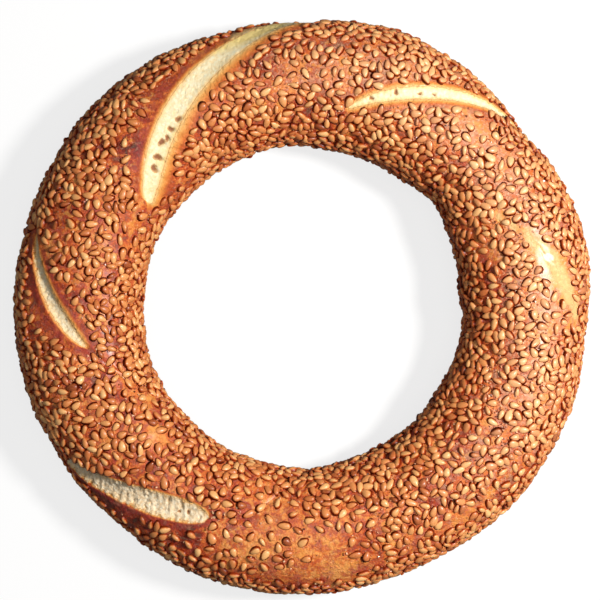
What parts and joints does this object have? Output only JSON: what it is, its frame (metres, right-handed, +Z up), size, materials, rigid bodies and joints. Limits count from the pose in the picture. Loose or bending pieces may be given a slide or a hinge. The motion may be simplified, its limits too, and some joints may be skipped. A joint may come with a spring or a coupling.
{
  "type": "simit bread ring",
  "caption": "Twisted ring of bread with a sesame crust and baked splits along its seams, for a bakery tray, plate or stall.",
  "frame": {"origin": "on the ring's own axis, at the level of its flat underside", "axes": "+Z up out of the flat underside; +X and +Y lie in the plane of the ring"},
  "size_m": [0.1749, 0.1746, 0.0315],
  "materials": {
    "crust": "glazed brown bread crust, satin to glossy",
    "crumb": "dry cream crumb, matt and porous",
    "sesame": "toasted sesame seeds under a syrup glaze"
  },
  "bodies": {
    "root": {"bread_ring": "crust"}
  },
  "joints": []
}
